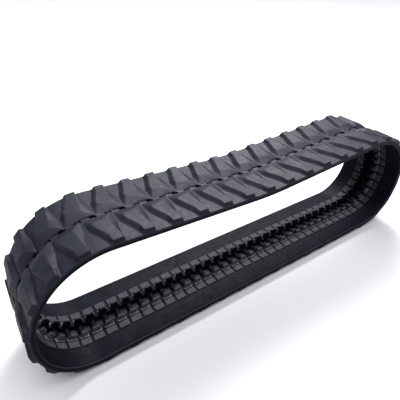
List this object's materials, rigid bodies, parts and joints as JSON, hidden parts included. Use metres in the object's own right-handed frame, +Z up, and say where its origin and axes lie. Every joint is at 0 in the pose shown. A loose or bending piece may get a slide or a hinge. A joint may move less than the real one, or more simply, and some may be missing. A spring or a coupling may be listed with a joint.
{
  "type": "rubber track",
  "caption": "Endless rubber track of a compact excavator: chevron tread lugs outside, guide lugs and drive windows inside, steel cores and cords within.",
  "frame": {"origin": "on the ground under the middle of the loop, half way across the belt", "axes": "+X along the track towards its front end, +Y across the belt to the left, +Z up"},
  "size_m": [2.026, 0.35, 0.5809],
  "materials": {
    "wheel_side_rubber": "satin moulded",
    "tread_rubber": "satin moulded",
    "steel_core": "forged, dark oxide",
    "cord_steel": "brass-coated steel wire",
    "ply_fabric": "rubberised"
  },
  "bodies": {
    "ground_run": {"ground_run_wheel_rubber_left": "wheel_side_rubber", "ground_run_wheel_rubber_right": "wheel_side_rubber", "ground_run_tread_rubber": "tread_rubber", "ground_run_steel_cores": "steel_core", "ground_run_steel_cords": "cord_steel", "ground_run_bias_ply": "ply_fabric"},
    "front_lower_bend": {"front_lower_bend_wheel_rubber_left": "wheel_side_rubber", "front_lower_bend_wheel_rubber_right": "wheel_side_rubber", "front_lower_bend_tread_rubber": "tread_rubber", "front_lower_bend_steel_cores": "steel_core", "front_lower_bend_steel_cords": "cord_steel", "front_lower_bend_bias_ply": "ply_fabric"},
    "front_nose": {"front_nose_wheel_rubber_left": "wheel_side_rubber", "front_nose_wheel_rubber_right": "wheel_side_rubber", "front_nose_tread_rubber": "tread_rubber", "front_nose_steel_cores": "steel_core", "front_nose_steel_cords": "cord_steel", "front_nose_bias_ply": "ply_fabric"},
    "front_upper_bend": {"front_upper_bend_wheel_rubber_left": "wheel_side_rubber", "front_upper_bend_wheel_rubber_right": "wheel_side_rubber", "front_upper_bend_tread_rubber": "tread_rubber", "front_upper_bend_steel_cores": "steel_core", "front_upper_bend_steel_cords": "cord_steel", "front_upper_bend_bias_ply": "ply_fabric"},
    "front_top_run": {"front_top_run_wheel_rubber_left": "wheel_side_rubber", "front_top_run_wheel_rubber_right": "wheel_side_rubber", "front_top_run_tread_rubber": "tread_rubber", "front_top_run_steel_cores": "steel_core", "front_top_run_steel_cords": "cord_steel", "front_top_run_bias_ply": "ply_fabric"},
    "rear_lower_bend": {"rear_lower_bend_wheel_rubber_left": "wheel_side_rubber", "rear_lower_bend_wheel_rubber_right": "wheel_side_rubber", "rear_lower_bend_tread_rubber": "tread_rubber", "rear_lower_bend_steel_cores": "steel_core", "rear_lower_bend_steel_cords": "cord_steel", "rear_lower_bend_bias_ply": "ply_fabric"},
    "rear_nose": {"rear_nose_wheel_rubber_left": "wheel_side_rubber", "rear_nose_wheel_rubber_right": "wheel_side_rubber", "rear_nose_tread_rubber": "tread_rubber", "rear_nose_steel_cores": "steel_core", "rear_nose_steel_cords": "cord_steel", "rear_nose_bias_ply": "ply_fabric"},
    "rear_upper_bend": {"rear_upper_bend_wheel_rubber_left": "wheel_side_rubber", "rear_upper_bend_wheel_rubber_right": "wheel_side_rubber", "rear_upper_bend_tread_rubber": "tread_rubber", "rear_upper_bend_steel_cores": "steel_core", "rear_upper_bend_steel_cords": "cord_steel", "rear_upper_bend_bias_ply": "ply_fabric"},
    "rear_top_run": {"rear_top_run_wheel_rubber_left": "wheel_side_rubber", "rear_top_run_wheel_rubber_right": "wheel_side_rubber", "rear_top_run_tread_rubber": "tread_rubber", "rear_top_run_steel_cores": "steel_core", "rear_top_run_steel_cords": "cord_steel", "rear_top_run_bias_ply": "ply_fabric"}
  },
  "joints": [
    {"name": "front_lower_flex", "type": "hinge", "parent": "ground_run", "child": "front_lower_bend", "pos_m": [0.84378, 0, 0.03441], "axis": [0, 1, 0], "range_deg": [-10, 14], "stiffness_Nm_per_rad": 400, "springref_deg": -45.84},
    {"name": "front_nose_flex", "type": "hinge", "parent": "front_lower_bend", "child": "front_nose", "pos_m": [0.98083, 0, 0.19045], "axis": [0, 1, 0], "range_deg": [-13.67, 9.91]},
    {"name": "front_shoulder_flex", "type": "hinge", "parent": "front_nose", "child": "front_upper_bend", "pos_m": [0.97235, 0, 0.35171], "axis": [0, 1, 0], "range_deg": [-15.41, 11.15]},
    {"name": "front_top_flex", "type": "hinge", "parent": "front_upper_bend", "child": "front_top_run", "pos_m": [0.83688, 0, 0.51638], "axis": [0, 1, 0], "range_deg": [-10.56, 14.58]},
    {"name": "rear_lower_flex", "type": "hinge", "parent": "ground_run", "child": "rear_lower_bend", "pos_m": [-0.84378, 0, 0.03441], "axis": [0, -1, 0], "range_deg": [-10.5, 14.5], "stiffness_Nm_per_rad": 400, "springref_deg": -45.84},
    {"name": "rear_nose_flex", "type": "hinge", "parent": "rear_lower_bend", "child": "rear_nose", "pos_m": [-0.98083, 0, 0.19045], "axis": [0, -1, 0], "range_deg": [-13.67, 9.91]},
    {"name": "rear_shoulder_flex", "type": "hinge", "parent": "rear_nose", "child": "rear_upper_bend", "pos_m": [-0.97235, 0, 0.35171], "axis": [0, -1, 0], "range_deg": [-15.41, 11.15]},
    {"name": "rear_top_flex", "type": "hinge", "parent": "rear_upper_bend", "child": "rear_top_run", "pos_m": [-0.83688, 0, 0.51638], "axis": [0, -1, 0], "range_deg": [-10.56, 14.58]}
  ],
  "couplings": [
    {"joint": "front_nose_flex", "follows": "front_lower_flex", "ratio": -0.9406},
    {"joint": "front_shoulder_flex", "follows": "front_lower_flex", "ratio": -1.0651},
    {"joint": "front_top_flex", "follows": "front_lower_flex", "ratio": 1.0057},
    {"joint": "rear_lower_flex", "follows": "front_lower_flex", "ratio": 1},
    {"joint": "rear_nose_flex", "follows": "front_lower_flex", "ratio": -0.9406},
    {"joint": "rear_shoulder_flex", "follows": "front_lower_flex", "ratio": -1.0651},
    {"joint": "rear_top_flex", "follows": "front_lower_flex", "ratio": 1.0057}
  ]
}
